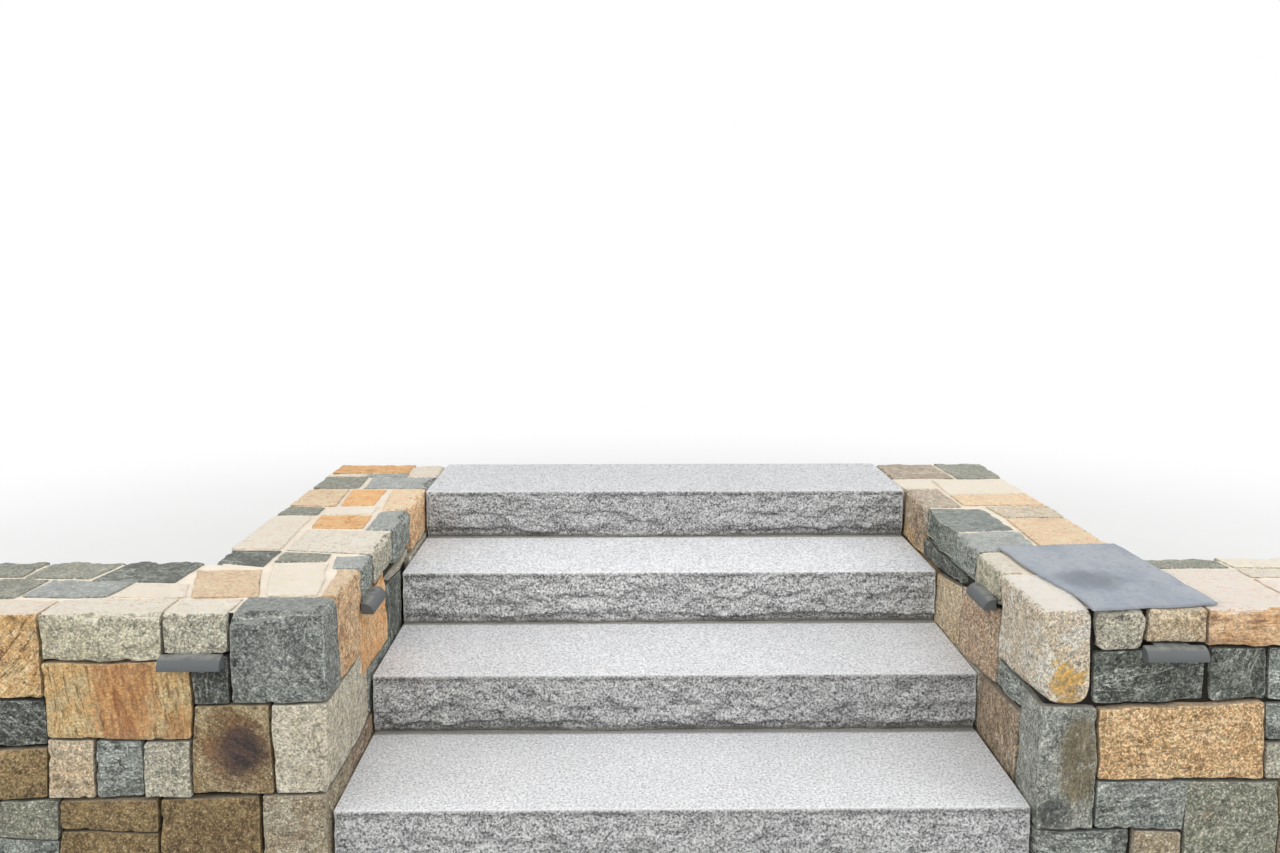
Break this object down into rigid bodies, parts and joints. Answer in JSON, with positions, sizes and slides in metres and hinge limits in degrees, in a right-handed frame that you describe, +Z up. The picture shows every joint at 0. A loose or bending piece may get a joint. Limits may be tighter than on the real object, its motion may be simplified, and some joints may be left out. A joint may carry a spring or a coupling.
{
  "type": "outdoor stone steps",
  "caption": "Straight flight of granite slab steps between fieldstone cheek walls that turn out as battered wing walls, with hooded lights under the top course.",
  "frame": {"origin": "on the ground under the middle of the bottom step's front arris", "axes": "+X to the right of someone who faces the steps, +Y up the flight, +Z up"},
  "size_m": [4.199, 1.924, 0.7192],
  "materials": {
    "granite_slab": "fine salt-and-pepper granite, thermal treads and rock-faced risers",
    "rubble_bed": "rubble and mortar bedding behind the slabs",
    "fieldstone": "split fieldstone of mixed tan, ochre, grey and blue-grey, tight dark joints on the faces and pale mortar on top",
    "brown_quoin": "split grey-brown corner stone",
    "beige_quoin": "split pale beige corner stone",
    "blue_grey_quoin": "split dark blue-grey corner stone",
    "olive_grey_quoin": "split grey corner stone with a brown heart",
    "field_boulder": "weathered granite field boulder with ochre lichen",
    "bluestone": "cleft blue-grey cover sheet",
    "dark_bronze": "dark bronze powder coat, matt",
    "frosted_lens": "frosted lens, unlit"
  },
  "bodies": {
    "root": {"bed_course_1": "rubble_bed", "bed_course_2": "rubble_bed", "bed_course_3": "rubble_bed", "left_cheek_light_bracket": "dark_bronze", "left_cheek_light_hood": "dark_bronze", "left_cheek_light_lens": "frosted_lens", "left_cheek_top_course": "fieldstone", "left_cheek_wall": "fieldstone", "left_quoin_bottom": "brown_quoin", "left_quoin_middle": "beige_quoin", "left_quoin_top": "blue_grey_quoin", "left_wing_light_bracket": "dark_bronze", "left_wing_light_hood": "dark_bronze", "left_wing_light_lens": "frosted_lens", "left_wing_top_course": "fieldstone", "left_wing_wall": "fieldstone", "right_cheek_light_bracket": "dark_bronze", "right_cheek_light_hood": "dark_bronze", "right_cheek_light_lens": "frosted_lens", "right_cheek_top_course": "fieldstone", "right_cheek_wall": "fieldstone", "right_corner_cover": "bluestone", "right_quoin_bottom": "blue_grey_quoin", "right_quoin_middle": "olive_grey_quoin", "right_quoin_top": "field_boulder", "right_wing_light_bracket": "dark_bronze", "right_wing_light_hood": "dark_bronze", "right_wing_light_lens": "frosted_lens", "right_wing_top_course": "fieldstone", "right_wing_wall": "fieldstone", "step_1": "granite_slab", "step_2": "granite_slab", "step_3": "granite_slab", "step_4": "granite_slab"}
  },
  "joints": []
}
